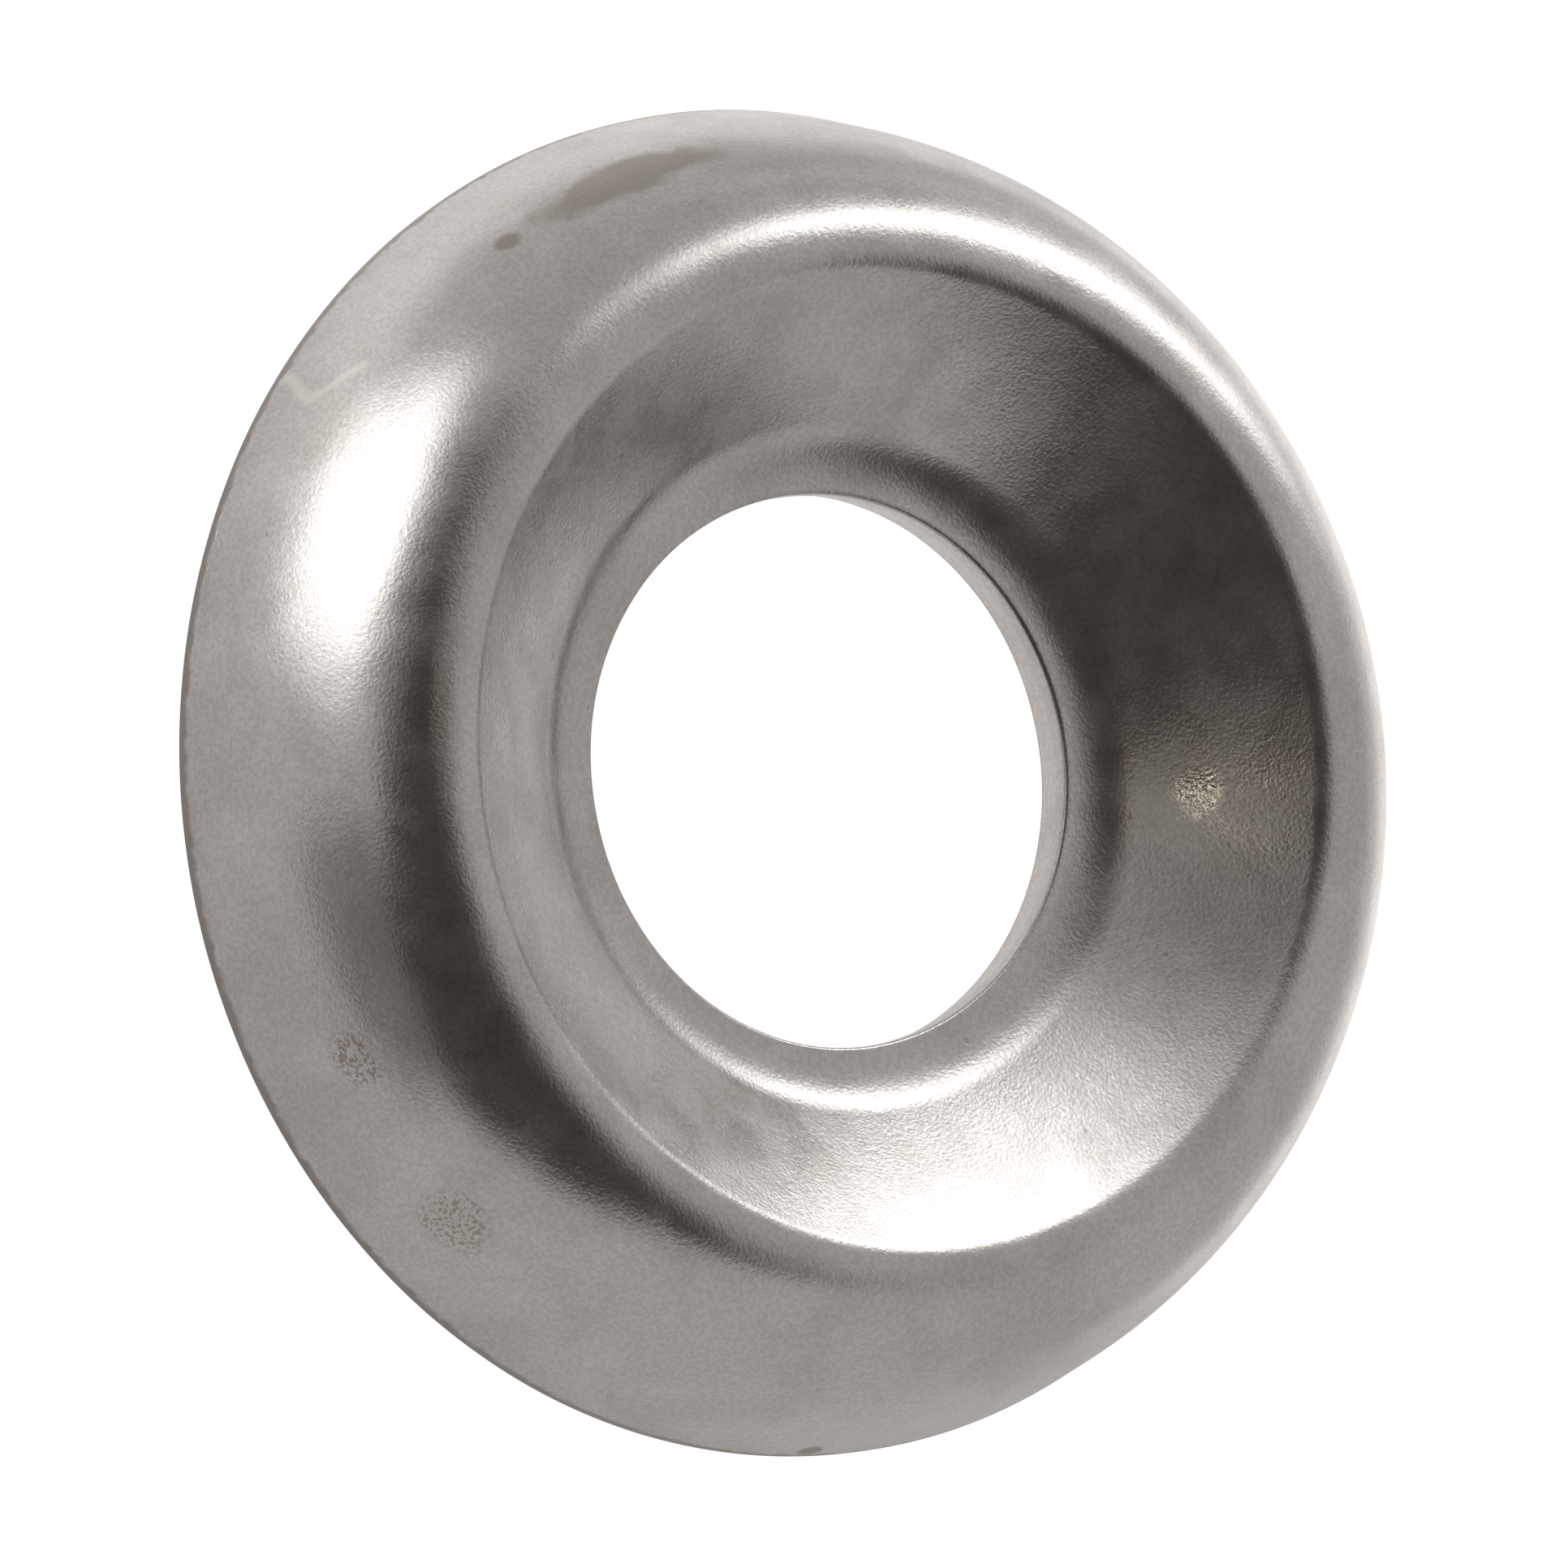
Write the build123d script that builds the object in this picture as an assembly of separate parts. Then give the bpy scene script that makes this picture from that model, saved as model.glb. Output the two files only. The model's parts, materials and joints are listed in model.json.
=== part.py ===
"""Finishing washer: a raised countersunk washer pressed from one disc of sheet steel.

It lies flat on its base plane (Z = 0) with the screw axis on +Z and the crest up.
The section is drawn in the XZ plane, X being the radius, and is turned once about Z.
Millimetres.
"""
import math
import os

from build123d import *

# Driving dimensions
OUTER_DIAMETER = 12.70
CREST_DIAMETER = 9.56
HOLE_DIAMETER = 5.20
HEIGHT = 2.54
LIP_HEIGHT = 1.20
SHEET_THICKNESS = 0.50

# The rim: the sheared edge of the sheet, pressed square where it meets the base
RIM_EDGE_HEIGHT = 0.13

# The shoulder, from the crest outwards: each arc turns by its angle, and the last
# one runs on until it is tangent to the straight flank that ends at the rim
CREST_ARC_RADIUS = 0.86
CREST_ARC_TURN = 30.0
SHOULDER_ARC_RADIUS = 1.48
SHOULDER_ARC_TURN = 30.0
FLANK_ARC_RADIUS = 4.30

# The funnel for the screw head, from its rounded mouth inwards to the lip round the
# hole. Its wall is one long arc, a little less steep at the top than at the foot, and
# its root arc has all but levelled out where it reaches the hole.
FUNNEL_TOP_SLOPE = 36.5
FUNNEL_FOOT_SLOPE = 40.0
FUNNEL_CREST_RADIUS = 0.36
FUNNEL_ROOT_RADIUS = 1.00
UNDERSIDE_CREST_RADIUS = 0.15

# The punched hole: a rounded entry, a short cylindrical land, then the break-out
HOLE_EDGE_RADIUS = 0.04
HOLE_LAND = 0.12

outer_radius = OUTER_DIAMETER / 2
crest_radius = CREST_DIAMETER / 2
hole_radius = HOLE_DIAMETER / 2
top_slope = math.radians(FUNNEL_TOP_SLOPE)
foot_slope = math.radians(FUNNEL_FOOT_SLOPE)


def on_circle(center, radius, turn):
    """Point of a circle, turned clockwise from its top by an angle in radians."""
    return (center[0] + radius * math.sin(turn), center[1] + radius * math.cos(turn))


def tangent_turn(center, radius, point):
    """Turn from the top of a circle at which its tangent passes through a point."""
    across = point[0] - center[0]
    up = point[1] - center[1]
    return math.atan2(across, up) - math.acos(radius / math.hypot(across, up))


def turn_to(center, point):
    """Turn from the top of a circle to a point on it."""
    return math.atan2(point[0] - center[0], point[1] - center[1])


def upper_crossing(first, first_radius, second, second_radius):
    """The upper one of the two points where two circles cross."""
    span = math.dist(first, second)
    along = (first_radius**2 - second_radius**2 + span**2) / (2 * span)
    aside = math.sqrt(first_radius**2 - along**2)
    way = ((second[0] - first[0]) / span, (second[1] - first[1]) / span)
    foot = (first[0] + along * way[0], first[1] + along * way[1])
    crossings = [
        (foot[0] - side * way[1], foot[1] + side * way[0]) for side in (aside, -aside)
    ]
    return max(crossings, key=lambda point: point[1])


def shoulder_centers():
    """Centres of the three shoulder arcs, each tangent to the one before it."""
    first_turn = math.radians(CREST_ARC_TURN)
    second_turn = math.radians(CREST_ARC_TURN + SHOULDER_ARC_TURN)
    crest = (crest_radius, HEIGHT - CREST_ARC_RADIUS)
    shoulder = on_circle(crest, CREST_ARC_RADIUS - SHOULDER_ARC_RADIUS, first_turn)
    flank = on_circle(shoulder, SHOULDER_ARC_RADIUS - FLANK_ARC_RADIUS, second_turn)
    return crest, shoulder, flank


def arc(center, radius, start_turn, end_turn):
    """Arc between two turns, both measured clockwise from the top of its circle."""
    middle = on_circle(center, radius, (start_turn + end_turn) / 2)
    start = on_circle(center, radius, start_turn)
    return ThreePointArc(start, middle, on_circle(center, radius, end_turn))


def shoulder(depth):
    """Flank and shoulder arcs from the rim up to the crest, at a depth in the sheet.

    The flank is straight and tangent to the last arc, and at the sheet's outer face
    it ends at the top of the rim's edge. Deeper lines are parallel to that one.
    """
    crest, bend, flank = shoulder_centers()
    first_turn = math.radians(CREST_ARC_TURN)
    second_turn = math.radians(CREST_ARC_TURN + SHOULDER_ARC_TURN)
    last_turn = tangent_turn(flank, FLANK_ARC_RADIUS, (outer_radius, RIM_EDGE_HEIGHT))
    flank_top = on_circle(flank, FLANK_ARC_RADIUS - depth, last_turn)
    if depth:
        flank_foot = (flank_top[0] + flank_top[1] / math.tan(last_turn), 0)
        crest_turn = turn_to(crest, underside_corner())
    else:
        flank_foot = (outer_radius, RIM_EDGE_HEIGHT)
        crest_turn = 0
    return [
        Line(flank_foot, flank_top),
        arc(flank, FLANK_ARC_RADIUS - depth, last_turn, second_turn),
        arc(bend, SHOULDER_ARC_RADIUS - depth, second_turn, first_turn),
        arc(crest, CREST_ARC_RADIUS - depth, first_turn, crest_turn),
    ]


def funnel_arcs():
    """Centres and radii of the funnel's crest, wall and root arcs, each tangent to the next."""
    crest = (crest_radius, HEIGHT - FUNNEL_CREST_RADIUS)
    crest_drop = FUNNEL_CREST_RADIUS * (1 - math.cos(top_slope))
    root_drop = FUNNEL_ROOT_RADIUS * (1 - math.cos(foot_slope))
    wall_drop = HEIGHT - LIP_HEIGHT - crest_drop - root_drop
    wall_radius = wall_drop / (math.cos(top_slope) - math.cos(foot_slope))
    wall = on_circle(crest, FUNNEL_CREST_RADIUS - wall_radius, -top_slope)
    root = on_circle(wall, wall_radius + FUNNEL_ROOT_RADIUS, -foot_slope)
    return crest, wall, wall_radius, root


def lip_turn(root):
    """Slope of the root arc where it runs smoothly into the rounded entry of the hole."""
    entry_center = hole_radius + HOLE_EDGE_RADIUS
    return math.asin((entry_center - root[0]) / (FUNNEL_ROOT_RADIUS + HOLE_EDGE_RADIUS))


def underside_corner():
    """Where the wall's underside meets the underside of the crest."""
    _, wall, wall_radius, _ = funnel_arcs()
    crest = shoulder_centers()[0]
    return upper_crossing(
        wall, wall_radius - SHEET_THICKNESS, crest, CREST_ARC_RADIUS - SHEET_THICKNESS
    )


def section():
    """Face of the washer's cross-section, drawn anticlockwise from the rim's foot."""
    crest, wall, wall_radius, root = funnel_arcs()
    outer = shoulder(0)
    inner = shoulder(SHEET_THICKNESS)
    corner_point = underside_corner()
    lip = -lip_turn(root)
    entry = on_circle(root, -FUNNEL_ROOT_RADIUS - HOLE_EDGE_RADIUS, lip)
    land_top = (hole_radius, entry[1])
    land_foot = (hole_radius, entry[1] - HOLE_LAND)
    lip_underside = on_circle(root, -FUNNEL_ROOT_RADIUS - SHEET_THICKNESS, lip)
    under_wall_turn = turn_to(wall, corner_point)
    lines = [
        Line((outer_radius, 0), (outer_radius, RIM_EDGE_HEIGHT)),
        *outer,
        arc(crest, FUNNEL_CREST_RADIUS, 0, -top_slope),
        arc(wall, wall_radius, -top_slope, -foot_slope),
        arc(root, -FUNNEL_ROOT_RADIUS, -foot_slope, lip),
        arc(entry, HOLE_EDGE_RADIUS, lip, -math.pi / 2),
        Line(land_top, land_foot),
        Line(land_foot, lip_underside),
        arc(root, -FUNNEL_ROOT_RADIUS - SHEET_THICKNESS, lip, -foot_slope),
        arc(wall, wall_radius - SHEET_THICKNESS, -foot_slope, under_wall_turn),
        *inner,
        Line((inner[0] @ 0), (outer_radius, 0)),
    ]
    face = make_face(Plane.XZ * (Curve() + lines))
    corner = face.vertices().sort_by_distance((corner_point[0], 0, corner_point[1]))[0]
    return fillet(corner, UNDERSIDE_CREST_RADIUS)


def finishing_washer():
    """The pressed washer: its section turned once about the screw axis."""
    return revolve(section(), Axis.Z, 360)


os.makedirs("parts", exist_ok=True)
export_step(finishing_washer(), "parts/finishing_washer.step")
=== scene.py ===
import json
import math
import random

import bmesh
import bpy
from mathutils import Matrix, Vector


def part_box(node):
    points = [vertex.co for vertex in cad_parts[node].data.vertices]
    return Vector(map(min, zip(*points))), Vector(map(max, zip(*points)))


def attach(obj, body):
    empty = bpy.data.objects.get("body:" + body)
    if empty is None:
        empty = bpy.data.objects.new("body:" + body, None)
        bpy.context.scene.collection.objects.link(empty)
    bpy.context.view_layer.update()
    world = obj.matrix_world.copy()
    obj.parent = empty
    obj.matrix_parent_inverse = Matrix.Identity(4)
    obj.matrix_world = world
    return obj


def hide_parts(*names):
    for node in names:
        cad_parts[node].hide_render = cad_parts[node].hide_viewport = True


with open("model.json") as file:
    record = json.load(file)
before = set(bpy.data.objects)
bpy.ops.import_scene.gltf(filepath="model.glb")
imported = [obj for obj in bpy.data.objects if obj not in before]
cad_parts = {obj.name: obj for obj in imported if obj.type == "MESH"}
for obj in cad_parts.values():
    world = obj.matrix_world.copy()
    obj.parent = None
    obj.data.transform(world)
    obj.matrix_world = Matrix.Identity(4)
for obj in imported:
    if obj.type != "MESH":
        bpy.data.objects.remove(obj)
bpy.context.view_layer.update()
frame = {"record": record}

MM = 0.001
NODE = "finishing_washer"

# Sizes of the washer, in millimetres. The box and the hole come from the frame.
node_low, node_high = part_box(NODE)
OUTER_RADIUS = (node_high[0] - node_low[0]) / 2 / MM
HEIGHT = (node_high[2] - node_low[2]) / MM
MOUNTS = {mount["name"]: mount for mount in frame["record"]["mounts"]}
HOLE_RADIUS = MOUNTS["screw_hole"]["dims"]["r_mm"]
CREST_RADIUS = 4.78
LIP_HEIGHT = 1.20
SHEET_THICKNESS = 0.50
RIM_EDGE_HEIGHT = 0.13
RIM_EDGE_ROUND = 0.03
CREST_ARC_RADIUS = 0.86
SHOULDER_ARC_RADIUS = 1.48
FLANK_ARC_RADIUS = 4.30
FIRST_TURN = math.radians(30)
SECOND_TURN = math.radians(60)
FUNNEL_TOP_SLOPE = math.radians(36.5)
FUNNEL_FOOT_SLOPE = math.radians(40)
FUNNEL_CREST_RADIUS = 0.36
FUNNEL_ROOT_RADIUS = 1.00
HOLE_EDGE_RADIUS = 0.04
HOLE_LAND = 0.12

# Steps round the washer, and the length of a step along its section
AROUND = 720
STEP = 0.035

# The unevenness of the stamping, in millimetres: the size of its waves, the seed of their
# draw and how far they lift. The surface is sunk a little, so that it keeps to the CAD box,
# and stays flat up to FLAT_FOOT.
BROAD_SIZE, BROAD_SEED, BROAD_LIFT = 4.0, 3, 0.012
FINE_SIZE, FINE_SEED, FINE_LIFT = 1.3, 8, 0.0025
WAVE_COUNT = 9
SUNK = 0.006
SUNK_PER_HEIGHT = 0.002
FLAT_FOOT = 0.02


# ---------------------------------------------------------------- section

def on_circle(center, radius, turn):
    """Point of a circle, turned clockwise from its top by an angle in radians."""
    return (center[0] + radius * math.sin(turn), center[1] + radius * math.cos(turn))


def turn_to(center, point):
    """Clockwise turn from a circle's top to a point on it."""
    return math.atan2(point[0] - center[0], point[1] - center[1])


def upper_crossing(first, first_radius, second, second_radius):
    """The upper one of the two points where two circles cross."""
    span = math.dist(first, second)
    along = (first_radius ** 2 - second_radius ** 2 + span ** 2) / (2 * span)
    aside = math.sqrt(first_radius ** 2 - along ** 2)
    way = ((second[0] - first[0]) / span, (second[1] - first[1]) / span)
    return max(
        (
            (first[0] + along * way[0] - side * way[1], first[1] + along * way[1] + side * way[0])
            for side in (aside, -aside)
        ),
        key=lambda point: point[1],
    )


def arc_points(center, radius, start_turn, end_turn):
    """Points along an arc between two turns, both measured from the top of its circle."""
    count = max(4, math.ceil(abs(radius * (end_turn - start_turn)) / STEP))
    return [
        on_circle(center, radius, start_turn + (end_turn - start_turn) * k / count)
        for k in range(count + 1)
    ]


def line_points(start, end):
    """Points along a straight line, with both its ends."""
    count = max(1, math.ceil(math.dist(start, end) / STEP))
    return [
        tuple(a + (b - a) * k / count for a, b in zip(start, end))
        for k in range(count + 1)
    ]


def tangent_turn(center, radius, point):
    """Turn from the top of a circle at which its tangent passes through a point."""
    across = point[0] - center[0]
    up = point[1] - center[1]
    return math.atan2(across, up) - math.acos(radius / math.hypot(across, up))


CREST_CENTER = (CREST_RADIUS, HEIGHT - CREST_ARC_RADIUS)
SHOULDER_CENTER = on_circle(CREST_CENTER, CREST_ARC_RADIUS - SHOULDER_ARC_RADIUS, FIRST_TURN)
FLANK_CENTER = on_circle(SHOULDER_CENTER, SHOULDER_ARC_RADIUS - FLANK_ARC_RADIUS, SECOND_TURN)
LAST_TURN = tangent_turn(FLANK_CENTER, FLANK_ARC_RADIUS, (OUTER_RADIUS, RIM_EDGE_HEIGHT))
FUNNEL_CENTER = (CREST_RADIUS, HEIGHT - FUNNEL_CREST_RADIUS)
WALL_DROP = (
    HEIGHT - LIP_HEIGHT
    - FUNNEL_CREST_RADIUS * (1 - math.cos(FUNNEL_TOP_SLOPE))
    - FUNNEL_ROOT_RADIUS * (1 - math.cos(FUNNEL_FOOT_SLOPE))
)
WALL_RADIUS = WALL_DROP / (math.cos(FUNNEL_TOP_SLOPE) - math.cos(FUNNEL_FOOT_SLOPE))
WALL_CENTER = on_circle(FUNNEL_CENTER, FUNNEL_CREST_RADIUS - WALL_RADIUS, -FUNNEL_TOP_SLOPE)
ROOT_CENTER = on_circle(WALL_CENTER, WALL_RADIUS + FUNNEL_ROOT_RADIUS, -FUNNEL_FOOT_SLOPE)


def shoulder_points(depth, crest_turn):
    """Arcs from the flank up to the crest, at a depth in the sheet."""
    return (
        arc_points(FLANK_CENTER, FLANK_ARC_RADIUS - depth, LAST_TURN, SECOND_TURN)
        + arc_points(SHOULDER_CENTER, SHOULDER_ARC_RADIUS - depth, SECOND_TURN, FIRST_TURN)
        + arc_points(CREST_CENTER, CREST_ARC_RADIUS - depth, FIRST_TURN, crest_turn)
    )


def outline():
    """The closed section, as (radius, height) points in millimetres, from the rim's foot."""
    edge_reach = FUNNEL_ROOT_RADIUS + HOLE_EDGE_RADIUS
    lip = -math.asin((HOLE_RADIUS + HOLE_EDGE_RADIUS - ROOT_CENTER[0]) / edge_reach)
    edge_center = on_circle(ROOT_CENTER, -edge_reach, lip)
    break_out = on_circle(ROOT_CENTER, -FUNNEL_ROOT_RADIUS - SHEET_THICKNESS, lip)
    under_wall_radius = WALL_RADIUS - SHEET_THICKNESS
    corner = upper_crossing(
        WALL_CENTER, under_wall_radius, CREST_CENTER, CREST_ARC_RADIUS - SHEET_THICKNESS
    )
    under_wall_turn = turn_to(WALL_CENTER, corner)
    inner = shoulder_points(SHEET_THICKNESS, turn_to(CREST_CENTER, corner))
    foot = (inner[0][0] + inner[0][1] / math.tan(LAST_TURN), 0)
    stretches = [
        line_points((OUTER_RADIUS - RIM_EDGE_ROUND, 0), (OUTER_RADIUS, RIM_EDGE_ROUND)),
        line_points((OUTER_RADIUS, RIM_EDGE_ROUND), (OUTER_RADIUS, RIM_EDGE_HEIGHT)),
        shoulder_points(0, 0),
        arc_points(FUNNEL_CENTER, FUNNEL_CREST_RADIUS, 0, -FUNNEL_TOP_SLOPE),
        arc_points(WALL_CENTER, WALL_RADIUS, -FUNNEL_TOP_SLOPE, -FUNNEL_FOOT_SLOPE),
        arc_points(ROOT_CENTER, -FUNNEL_ROOT_RADIUS, -FUNNEL_FOOT_SLOPE, lip),
        arc_points(edge_center, HOLE_EDGE_RADIUS, lip, -math.pi / 2),
        line_points((HOLE_RADIUS, edge_center[1] - HOLE_LAND), break_out),
        arc_points(ROOT_CENTER, -FUNNEL_ROOT_RADIUS - SHEET_THICKNESS, lip, -FUNNEL_FOOT_SLOPE),
        arc_points(WALL_CENTER, under_wall_radius, -FUNNEL_FOOT_SLOPE, under_wall_turn),
        inner[::-1],
        line_points(inner[0], foot),
    ]
    points = [stretches[0][0]]
    for stretch in stretches + [stretches[0][:1]]:
        for point in line_points(points[-1], stretch[0]) + stretch:
            if math.dist(point, points[-1]) > STEP / 10:
                points.append(point)
    return points[:-1]


def ripples(size, seed):
    """Smooth signed unevenness with features of about a size in millimetres."""
    draw = random.Random(seed)
    waves = []
    for _ in range(WAVE_COUNT):
        way = Vector([draw.gauss(0, 1) for _ in range(3)]).normalized()
        waves.append((way * math.tau / size * draw.uniform(0.6, 1.3), draw.uniform(0, math.tau)))
    return lambda point: sum(math.sin(way.dot(point) + phase) for way, phase in waves) / WAVE_COUNT


def section_normals(section):
    """Outward normal at each point of the section."""
    normals = []
    for index in range(len(section)):
        before = section[index - 1]
        after = section[(index + 1) % len(section)]
        along = Vector((after[0] - before[0], after[1] - before[1])).normalized()
        normals.append(Vector((along[1], -along[0])))
    return normals


def uneven_point(point, normal, angle, broad, fine):
    """A point of the section, turned about Z and lifted by the ripples, in metres."""
    radius, height = point
    place = Vector((radius * math.cos(angle), radius * math.sin(angle), height))
    lift = BROAD_LIFT * broad(place) + FINE_LIFT * fine(place)
    if height < FLAT_FOOT:
        lift = 0
    radius += lift * normal[0] - SUNK
    height += lift * normal[1] - SUNK_PER_HEIGHT * height
    return (radius * math.cos(angle) * MM, radius * math.sin(angle) * MM, max(height, 0) * MM)


def make_washer():
    """The washer's mesh: its section turned about Z, then made as uneven as a stamping."""
    section = outline()
    normals = section_normals(section)
    broad, fine = ripples(BROAD_SIZE, BROAD_SEED), ripples(FINE_SIZE, FINE_SEED)
    mesh = bmesh.new()
    rings = []
    for step in range(AROUND):
        angle = 2 * math.pi * step / AROUND
        rings.append([
            mesh.verts.new(uneven_point(point, normal, angle, broad, fine))
            for point, normal in zip(section, normals)
        ])
    for step in range(AROUND):
        here, there = rings[step], rings[(step + 1) % AROUND]
        for index in range(len(section)):
            onward = (index + 1) % len(section)
            mesh.faces.new((here[index], there[index], there[onward], here[onward]))
    bmesh.ops.recalc_face_normals(mesh, faces=mesh.faces)
    data = bpy.data.meshes.new("pressed_washer")
    mesh.to_mesh(data)
    mesh.free()
    data.shade_smooth()
    washer = bpy.data.objects.new("pressed_washer", data)
    bpy.context.scene.collection.objects.link(washer)
    return washer


# ---------------------------------------------------------------- materials

CLEAN_STEEL = (0.66, 0.64, 0.625)
DULL_STEEL = (0.59, 0.565, 0.545)
FLECK_TONE = (0.88, 0.876, 0.87)
DARK_REFLECTION_AND_MARK_COLOR = (0.36, 0.33, 0.29)
PIT_COLOR = (0.3, 0.235, 0.19)
SCUFF_COLOR = (0.85, 0.82, 0.78)
TORN_COLOR = (0.36, 0.335, 0.315)

# The marks: the place and the size of each, in millimetres
# The darker patch on the upper flank, with its tail, is a painted dark reflection.
PAINTED_DARK_REFLECTION = ((-5.75, -1.3, 1.55), 0.55, (1, 0.42, 1.6))
PAINTED_DARK_REFLECTION_TAIL = ((-5.35, -2.62, 1.46), 0.16)
RIM_DENT = ((6.24, -0.99, 0.29), 0.14)
BURNISHED_SPOT = ((0.83, 3.6, 1.78), 0.26)
PITTED_PATCH = ((3.45, -4.92, 1.28), 0.42)
SMALL_PITTED_PATCH = ((1.86, -5.72, 1.34), 0.30)

# How fine each pattern is, as the scale of its noise per millimetre
CLOUD_SCALE = 0.9
SWELL_SCALE = 1.1
SATIN_SCALE = 2.2
TEAR_SCALE = 6
LONE_PIT_SCALE = 7
STREAK_SCALE = 9
FLECK_SCALE = 22
SPECK_SCALE = 25
GRAIN_SCALE = 30

# Depths of the bumps, in millimetres
SWELL_DEPTH = 0.008
GRAIN_DEPTH = 0.003
PIT_DEPTH = 0.002
TEAR_DEPTH = 0.015

# Roughness of the satin, and what the marks add to it or take from it
SMOOTHEST, ROUGHEST = 0.23, 0.31
DARK_PATCH_ROUGHER = 0.1
BURNISH_SMOOTHER = 0.15
TORN_ROUGHER = 0.15

# How strongly the painted dark reflection, the pits and the scuff show
PAINTED_REFLECTION_STRENGTH = 0.8
PIT_STRENGTH = 0.7
LONE_PIT_STRENGTH = 0.5
SCUFF_STRENGTH = 0.45
SCUFF_HALF_WIDTH = 0.11
SCUFF_CORE = 0.02


class Graph:
    """Short names for the shader nodes that the materials share."""

    def __init__(self, tree):
        self.tree = tree

    def add(self, kind, **settings):
        """A new node with its settings."""
        node = self.tree.nodes.new(kind)
        for name, value in settings.items():
            setattr(node, name, value)
        return node

    def join(self, value, socket):
        """Link an output to a socket, or set the socket to a number or a colour."""
        if hasattr(value, "links"):
            self.tree.links.new(value, socket)
        elif isinstance(value, tuple) and len(value) < len(socket.default_value):
            socket.default_value = (*value, 1)
        else:
            socket.default_value = value

    def math(self, operation, first, second):
        node = self.add("ShaderNodeMath", operation=operation)
        self.join(first, node.inputs[0])
        self.join(second, node.inputs[1])
        return node.outputs[0]

    def dot(self, first, second):
        node = self.add("ShaderNodeVectorMath", operation="DOT_PRODUCT")
        self.join(first, node.inputs[0])
        self.join(second, node.inputs[1])
        return node.outputs["Value"]

    def fade(self, value, start, end, low=0, high=1):
        """The value's smooth step from one level to another between two limits."""
        node = self.add("ShaderNodeMapRange", interpolation_type="SMOOTHSTEP")
        self.join(value, node.inputs["Value"])
        node.inputs["From Min"].default_value = start
        node.inputs["From Max"].default_value = end
        node.inputs["To Min"].default_value = low
        node.inputs["To Max"].default_value = high
        return node.outputs["Result"]

    def mix(self, factor, first, second, blend="MIX"):
        node = self.add("ShaderNodeMix", data_type="RGBA", blend_type=blend)
        self.join(factor, node.inputs["Factor"])
        self.join(first, node.inputs[6])
        self.join(second, node.inputs[7])
        return node.outputs[2]

    def noise(self, place, scale, detail, distortion=0):
        node = self.add("ShaderNodeTexNoise")
        self.join(place, node.inputs["Vector"])
        node.inputs["Scale"].default_value = scale
        node.inputs["Detail"].default_value = detail
        node.inputs["Distortion"].default_value = distortion
        return node.outputs["Fac"]

    def millimetres(self, stretch=(1, 1, 1)):
        """Object coordinates in millimetres, stretched along each axis."""
        node = self.add("ShaderNodeVectorMath", operation="MULTIPLY")
        self.join(self.add("ShaderNodeTexCoord").outputs["Object"], node.inputs[0])
        node.inputs[1].default_value = [factor / MM for factor in stretch]
        return node.outputs[0]

    def length(self, place):
        """The distance of a place from the origin."""
        node = self.add("ShaderNodeVectorMath", operation="LENGTH")
        self.join(place, node.inputs[0])
        return node.outputs["Value"]

    def near(self, place, spot, size, stretch=(1, 1, 1)):
        """1 within a soft, ragged blob round a spot, 0 beyond it; sizes in millimetres."""
        offset = self.add("ShaderNodeVectorMath", operation="SUBTRACT")
        self.join(place, offset.inputs[0])
        offset.inputs[1].default_value = spot
        shaped = self.add("ShaderNodeVectorMath", operation="MULTIPLY")
        self.join(offset.outputs[0], shaped.inputs[0])
        shaped.inputs[1].default_value = stretch
        ragged = self.math("MULTIPLY", self.math("SUBTRACT", self.noise(place, 2.5, 3), 0.5), size)
        away = self.math("ADD", self.length(shaped.outputs[0]), ragged)
        return self.fade(away, size * 1.1, size * 0.6)

    def bump(self, height, depth, under=None):
        """A bump of a real depth in millimetres, on top of another one."""
        node = self.add("ShaderNodeBump")
        node.inputs["Distance"].default_value = depth * MM
        self.join(height, node.inputs["Height"])
        if under is not None:
            self.join(under, node.inputs["Normal"])
        return node.outputs["Normal"]


def dark_reflection_and_rim_mark(graph, place):
    """A painted dark reflection on the upper flank with its tail, and the dark mark on the rim."""
    dark_reflection = graph.math("MULTIPLY", graph.near(place, *PAINTED_DARK_REFLECTION), PAINTED_REFLECTION_STRENGTH)
    spots = graph.math("MAXIMUM", graph.near(place, *PAINTED_DARK_REFLECTION_TAIL), graph.near(place, *RIM_DENT))
    return graph.math("MAXIMUM", dark_reflection, spots)


def pits(graph, place):
    """Two patches of fine brown pits, and a few lone fainter ones anywhere."""
    patches = graph.math(
        "MAXIMUM", graph.near(place, *PITTED_PATCH), graph.near(place, *SMALL_PITTED_PATCH)
    )
    specks = graph.fade(graph.noise(place, SPECK_SCALE, 2), 0.5, 0.6)
    lone = graph.fade(graph.noise(place, LONE_PIT_SCALE, 0), 0.87, 0.9)
    return graph.math(
        "MAXIMUM",
        graph.math("MULTIPLY", patches, specks),
        graph.math("MULTIPLY", lone, LONE_PIT_STRENGTH),
    )


def scuff(graph, place, height):
    """A pale wavy line that climbs the flank on the side of -X and -Y."""
    bend = graph.math(
        "ADD", graph.fade(height, 0.2, 0.66, 0, 0.2), graph.fade(height, 0.66, 1.15, 0, -0.42)
    )
    off_line = graph.math("SUBTRACT", graph.dot(place, (0.7071, -0.7071, 0)), bend)
    line = graph.fade(graph.math("ABSOLUTE", off_line, 0), SCUFF_HALF_WIDTH, SCUFF_CORE)
    line = graph.math("MULTIPLY", line, graph.fade(height, 1.25, 1.0, 0, SCUFF_STRENGTH))
    on_side = graph.fade(graph.dot(place, (-1, -1, 0)), 4, 6)
    return graph.math("MULTIPLY", line, on_side)


def torn_rim(graph, place, height):
    """The dark sheared edge at the rim's foot, with a ragged upper limit."""
    ragged = graph.math("MULTIPLY", graph.noise(place, TEAR_SCALE, 3), 0.16)
    return graph.fade(graph.math("ADD", height, ragged), 0.27, 0.19)


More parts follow.
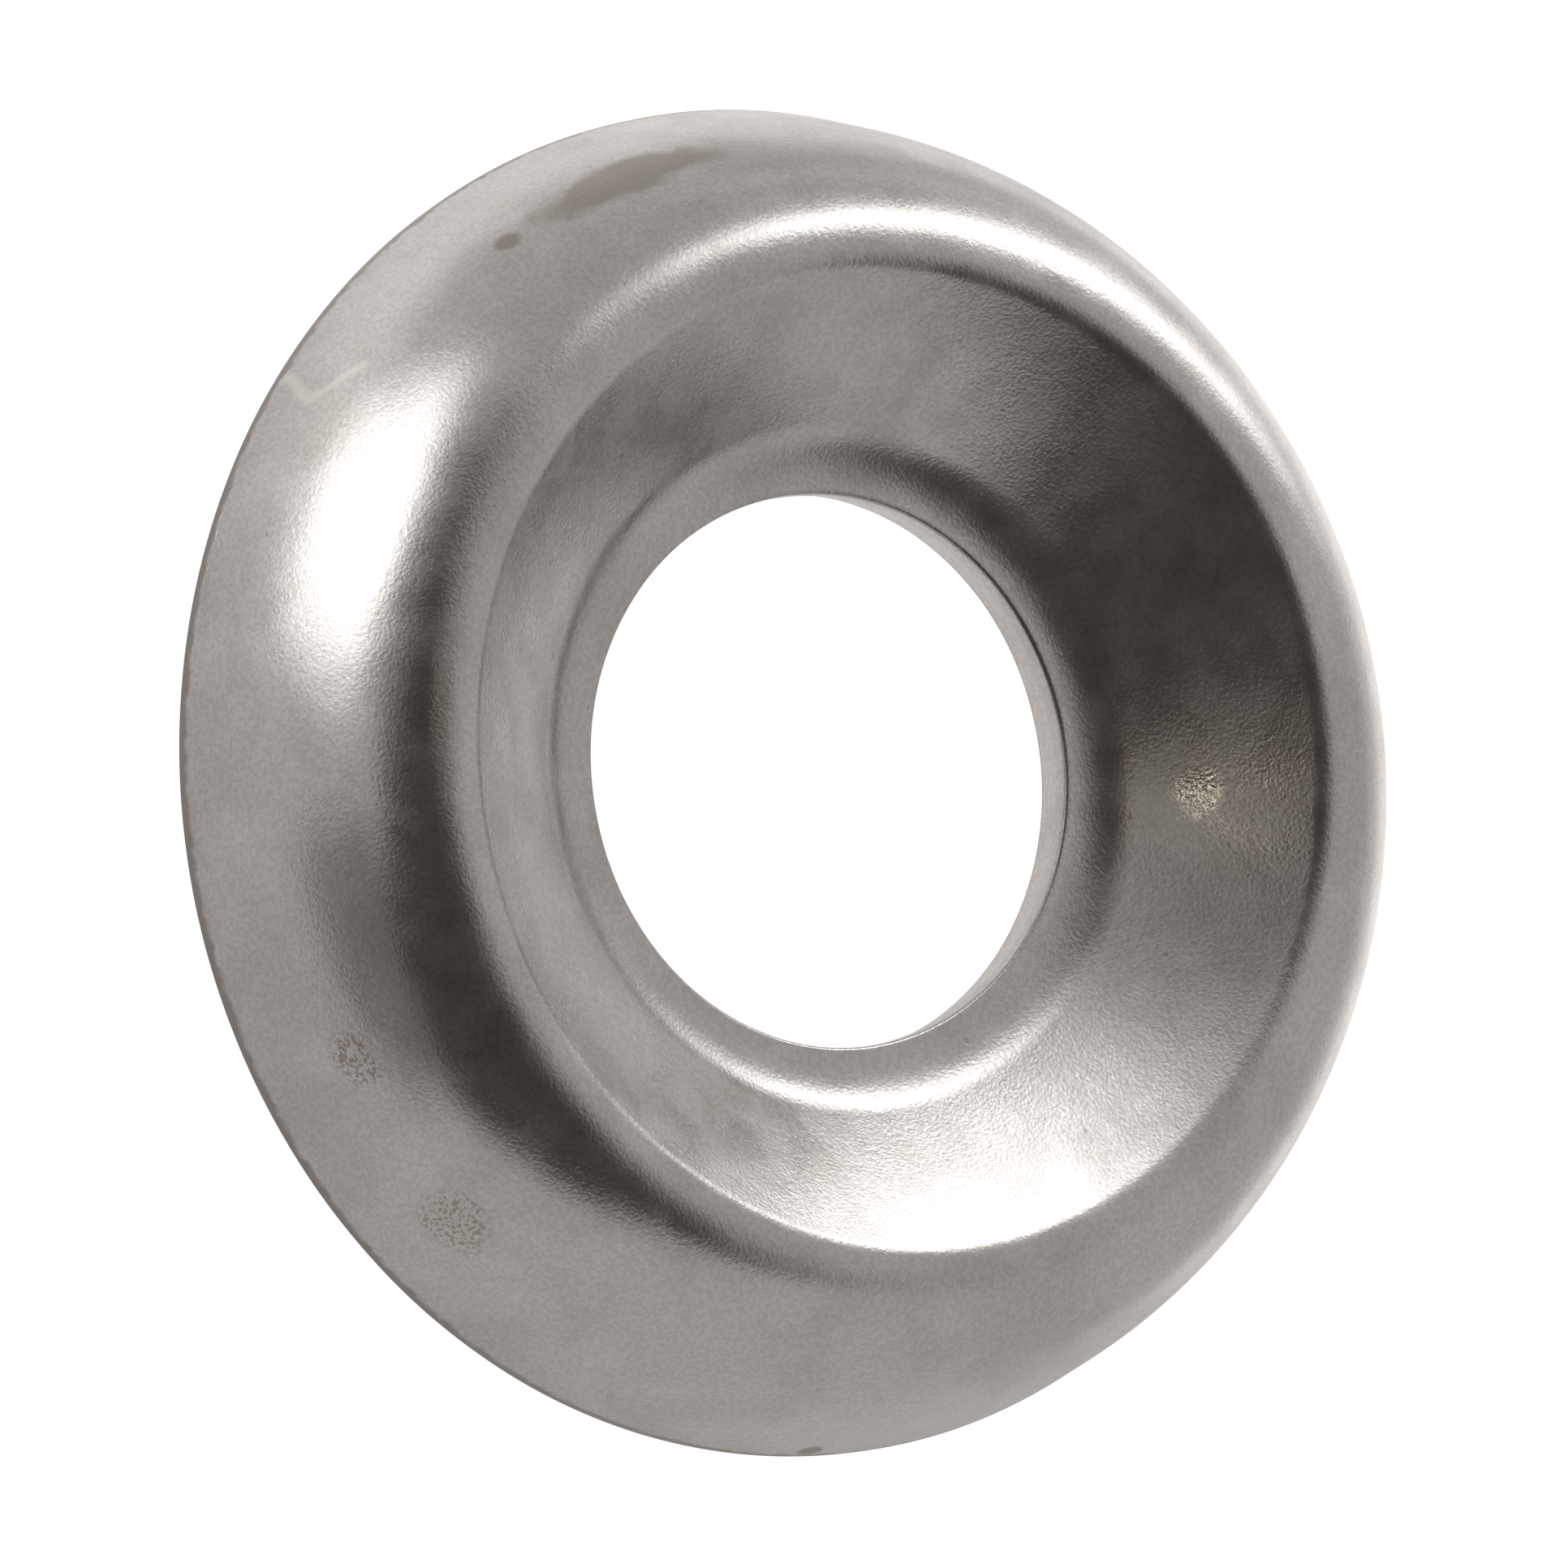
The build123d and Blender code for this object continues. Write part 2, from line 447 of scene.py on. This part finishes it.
def steel_material():
    """Tumbled stainless sheet: satin grain, a painted dark reflection and a dark rim mark, pits
    and a torn punched edge.
    """
    mat = bpy.data.materials.new("tumbled_stainless")
    mat.use_nodes = True
    shader = mat.node_tree.nodes["Principled BSDF"]
    shader.inputs["Metallic"].default_value = 1
    graph = Graph(mat.node_tree)
    place = graph.millimetres()
    height = graph.dot(place, (0, 0, 1))
    dark_reflection_and_mark = dark_reflection_and_rim_mark(graph, place)
    pitted = pits(graph, place)
    torn = torn_rim(graph, place, height)

    clouds = graph.noise(place, CLOUD_SCALE, 4, 0.6)
    flecks = graph.fade(graph.noise(place, FLECK_SCALE, 2), 0.38, 0.62)
    color = graph.mix(graph.fade(clouds, 0.35, 0.68), CLEAN_STEEL, DULL_STEEL)
    color = graph.mix(flecks, color, FLECK_TONE, "MULTIPLY")
    # Painted dark reflection on the upper flank, and the dark mark on the rim.
    color = graph.mix(dark_reflection_and_mark, color, DARK_REFLECTION_AND_MARK_COLOR)
    color = graph.mix(graph.math("MULTIPLY", pitted, PIT_STRENGTH), color, PIT_COLOR)
    color = graph.mix(scuff(graph, place, height), color, SCUFF_COLOR)
    color = graph.mix(torn, color, TORN_COLOR)

    satin = graph.noise(place, SATIN_SCALE, 4)
    burnished = graph.near(place, *BURNISHED_SPOT)
    rough = graph.fade(satin, 0.3, 0.7, SMOOTHEST, ROUGHEST)
    # The painted reflection patch and the rim mark are also rougher.
    rough = graph.math("ADD", rough, graph.math("MULTIPLY", dark_reflection_and_mark, DARK_PATCH_ROUGHER))
    rough = graph.math("SUBTRACT", rough, graph.math("MULTIPLY", burnished, BURNISH_SMOOTHER))
    rough = graph.math("ADD", rough, graph.math("MULTIPLY", torn, TORN_ROUGHER))

    normal = graph.bump(graph.noise(place, SWELL_SCALE, 2), SWELL_DEPTH)
    normal = graph.bump(graph.noise(place, GRAIN_SCALE, 2), GRAIN_DEPTH, normal)
    normal = graph.bump(graph.math("SUBTRACT", 1, pitted), PIT_DEPTH, normal)
    streaks = graph.noise(graph.millimetres((1, 1, 0.15)), STREAK_SCALE, 3)
    normal = graph.bump(graph.math("MULTIPLY", streaks, torn), TEAR_DEPTH, normal)

    graph.join(color, shader.inputs["Base Color"])
    graph.join(rough, shader.inputs["Roughness"])
    graph.join(normal, shader.inputs["Normal"])
    return mat


# How brightly the table glows in reflections: under the washer from its middle outwards,
# where a painted shadow darkens it towards the middle, just beside and behind it, and farther away
SHADE_UNDER_MIDDLE, SHADE_UNDER_EDGE = 0.4, 0.68
TABLE_GLOW = 0.42
BESIDE_GLOW = 0.8
BEHIND_GLOW = 1.02
BEYOND_GLOW = 0.58
TABLE_TINT = (1, 0.97, 0.945)
TABLE_SEEN = (0.96, 0.96, 0.96)


def floor_material():
    """A pale table that the washer mirrors darker than the camera sees it, with a painted shadow
    under the washer.
    """
    mat = bpy.data.materials.new("pale_table")
    mat.use_nodes = True
    shader = mat.node_tree.nodes["Principled BSDF"]
    shader.inputs["Base Color"].default_value = (0.3, 0.3, 0.3, 1)
    shader.inputs["Roughness"].default_value = 0.9
    shader.inputs["Specular IOR Level"].default_value = 0.1
    shader.inputs["Emission Strength"].default_value = 1
    graph = Graph(mat.node_tree)
    place = graph.millimetres()
    far = graph.length(place)
    oval = graph.length(graph.millimetres((1, 0.62, 1)))
    backwards = graph.dot(place, (0, 1, 0))
    # Painted shadow: under the washer the glow darkens towards the middle of the hole.
    under = graph.fade(far, 0.3, 2.6, SHADE_UNDER_MIDDLE, SHADE_UNDER_EDGE)
    beside = graph.fade(graph.dot(place, (-1, 0, 0)), 3, 7, TABLE_GLOW, BESIDE_GLOW)
    behind = graph.fade(backwards, 2, 8, TABLE_GLOW, BEHIND_GLOW)
    beyond = graph.fade(backwards, 5, 12, TABLE_GLOW, BEYOND_GLOW)
    around = graph.math("MAXIMUM", beside, behind)
    glow = graph.mix(graph.fade(oval, 6.9, 8.4), around, beyond)
    glow = graph.mix(graph.fade(far, 5, 6.3), under, glow)
    glow = graph.mix(1, glow, TABLE_TINT, "MULTIPLY")
    by_camera = graph.add("ShaderNodeLightPath").outputs["Is Camera Ray"]
    graph.join(graph.mix(by_camera, glow, TABLE_SEEN), shader.inputs["Emission Color"])
    return mat


# ---------------------------------------------------------------- studio

# The camera looks at the base's centre from this far up, turned about its own line of
# sight so that the screw axis points right and a little up in the picture.
CAMERA_ELEVATION = math.radians(58.06)
CAMERA_LEAN = math.radians(10.25)
CAMERA_DISTANCE = 212 * MM
FRAME_WIDTH = 14.725 * MM
LOOK_RIGHT = 0.19 * MM
LOOK_UP = -0.012 * MM
SENSOR_WIDTH = 36

# The layers of a soft window: how far each one spreads, and its share of the light
WINDOW_LAYERS = ((0.5, 0.3), (0.85, 0.3), (1.2, 0.22), (1.7, 0.18))
LAYER_GAP = 0.1 * MM
WATTS_PER_RADIANCE = 4


def camera_axes():
    """Picture right, picture up and the way back to the camera, as unit vectors."""
    tilt = math.pi / 2 - CAMERA_ELEVATION
    back = Vector((0, -math.sin(tilt), math.cos(tilt)))
    side = Vector((0, math.cos(tilt), math.sin(tilt)))
    level = Vector((-1, 0, 0))
    lean_cos, lean_sin = math.cos(CAMERA_LEAN), math.sin(CAMERA_LEAN)
    right = side * lean_cos - level * lean_sin
    up = side * lean_sin + level * lean_cos
    return right, up, back


def make_camera():
    """A long lens, so that the view is nearly parallel."""
    right, up, back = camera_axes()
    data = bpy.data.cameras.new("camera")
    data.sensor_width = SENSOR_WIDTH
    data.lens = data.sensor_width * CAMERA_DISTANCE / FRAME_WIDTH
    data.clip_start = 10 * MM
    data.clip_end = 10
    camera = bpy.data.objects.new("camera", data)
    place = back * CAMERA_DISTANCE + right * LOOK_RIGHT + up * LOOK_UP
    axes = Matrix((right, up, back))
    camera.matrix_world = Matrix.Translation(place) @ axes.transposed().to_4x4()
    bpy.context.scene.collection.objects.link(camera)
    bpy.context.scene.camera = camera


def outwards(azimuth):
    """Level unit vector away from the screw axis, at an azimuth in degrees."""
    angle = math.radians(azimuth)
    return Vector((math.cos(angle), math.sin(angle), 0))


def softbox(name, place, across, up, width, height, radiance):
    """A rectangular area light, unseen by the camera, that shines against across x up."""
    data = bpy.data.lights.new(name, "AREA")
    data.shape = "RECTANGLE"
    data.size, data.size_y = width, height
    data.energy = WATTS_PER_RADIANCE * radiance * width * height
    light = bpy.data.objects.new(name, data)
    axes = Matrix((across, up, across.cross(up)))
    light.matrix_world = Matrix.Translation(place) @ axes.transposed().to_4x4()
    light.visible_camera = False
    bpy.context.scene.collection.objects.link(light)
    return light


def soft_window(name, place, facing_azimuth, width, height, radiance, lean=0):
    """An upright oval softbox near the washer, in layers so that its edges are soft.

    It stands on the side that its azimuth says, and leans in its own plane by an angle in
    degrees.
    """
    away = outwards(facing_azimuth)
    turn = Matrix.Rotation(math.radians(lean), 3, away)
    across = turn @ Vector((-away.y, away.x, 0))
    up = turn @ Vector((0, 0, 1))
    for layer, (spread, share) in enumerate(WINDOW_LAYERS):
        light = softbox(
            f"{name}_{layer}", place - away * layer * LAYER_GAP, across, up,
            width * spread, height * spread, radiance * share,
        )
        light.data.shape = "ELLIPSE"


def make_lights():
    """The window that the funnel mirrors, the one that the flank mirrors, and its foot."""
    soft_window(
        "top_window", Vector((-8.9, 10, 7.4)) * MM, facing_azimuth=153,
        width=14.5 * MM, height=5 * MM, radiance=2.1, lean=27,
    )
    side_azimuth = -138
    away = outwards(side_azimuth)
    flank = Vector((-3.2, -5.1, 0)) * MM
    soft_window(
        "side_window", flank + away * 7 * MM + Vector((0, 0, 2.2)) * MM, side_azimuth,
        width=6 * MM, height=5.4 * MM, radiance=2.5,
    )
    softbox(
        "side_window_foot", flank + away * 5 * MM + Vector((0, 0, 0.1)) * MM,
        across=Vector((-away.y, away.x, 0)), up=away,
        width=5 * MM, height=4 * MM, radiance=0.7,
    )


def card(name, corners, glow, tint):
    """A plain card that only reflections see."""
    data = bpy.data.meshes.new(name)
    data.from_pydata([Vector(corner) * MM for corner in corners], [], [tuple(range(len(corners)))])
    piece = bpy.data.objects.new(name, data)
    mat = bpy.data.materials.new(name)
    mat.use_nodes = True
    shader = mat.node_tree.nodes["Principled BSDF"]
    shader.inputs["Base Color"].default_value = (0, 0, 0, 1)
    shader.inputs["Specular IOR Level"].default_value = 0
    shader.inputs["Emission Color"].default_value = (*tint, 1)
    shader.inputs["Emission Strength"].default_value = glow
    data.materials.append(mat)
    piece.visible_camera = False
    piece.visible_shadow = False
    bpy.context.scene.collection.objects.link(piece)


def make_cards():
    """What the steel mirrors besides the windows, with corners in millimetres.

    A pale card beside the washer, whose top edge runs uphill, a small warm lamp, whose image
    is the glint in the funnel, and a dark card in front.
    """
    card(
        "side_card", [(8, -21, 0), (8, 60, 0), (8, 60, 31.5)],
        glow=0.5, tint=(1, 0.985, 0.96),
    )
    card(
        "lamp", [(-3.3, -5, 11.2), (-2.5, -5.5, 11.2), (-2.5, -5.5, 12.8), (-3.3, -5, 12.8)],
        glow=3, tint=(1, 0.93, 0.75),
    )
    card(
        "dark_card", [(-1.1, -13, 0), (7.5, -13, 0), (7.5, -13, 5), (-1.1, -13, 5)],
        glow=0.2, tint=(1, 0.93, 0.89),
    )


# The sky's colours in reflections, and the directions that the dark room lies in
SKY = (0.5, 0.478, 0.465)
DARK_ROOM = (0.058, 0.047, 0.043)
ROOM_IN_FRONT = (0.428, -0.873, 0.231)
ROOM_ON_THE_RIGHT = (0.694, 0.558, 0.4545)


def make_world():
    """A pale sky, and a dark room in front that rises to the zenith on the right.

    The rest of its front is dusk above the horizon's pale band. The camera sees only white.
    """
    world = bpy.data.worlds.new("studio")
    bpy.context.scene.world = world
    world.use_nodes = True
    graph = Graph(world.node_tree)
    way = graph.add("ShaderNodeTexCoord").outputs["Generated"]
    in_front = graph.fade(graph.dot(way, ROOM_IN_FRONT), -0.2, 0.24)
    on_right = graph.fade(graph.dot(way, ROOM_ON_THE_RIGHT), -0.36, -0.2)
    dusk = graph.fade(graph.dot(way, (0, 0, 1)), 0.46, 0.64, 0, 0.6)
    dark = graph.math("MULTIPLY", in_front, graph.math("MAXIMUM", on_right, dusk))
    by_camera = graph.add("ShaderNodeLightPath").outputs["Is Camera Ray"]
    seen = graph.mix(by_camera, graph.mix(dark, SKY, DARK_ROOM), (1, 1, 1))
    graph.join(seen, world.node_tree.nodes["Background"].inputs["Color"])


def make_floor():
    """The table, far wider than the view."""
    bpy.ops.mesh.primitive_plane_add(size=4)
    floor = bpy.context.object
    floor.name = "table"
    floor.data.materials.append(floor_material())


make_camera()
washer = make_washer()
washer.data.materials.append(steel_material())
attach(washer, "root")
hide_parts(NODE)
make_floor()
make_lights()
make_cards()
make_world()
bpy.context.scene.view_settings.view_transform = "Standard"
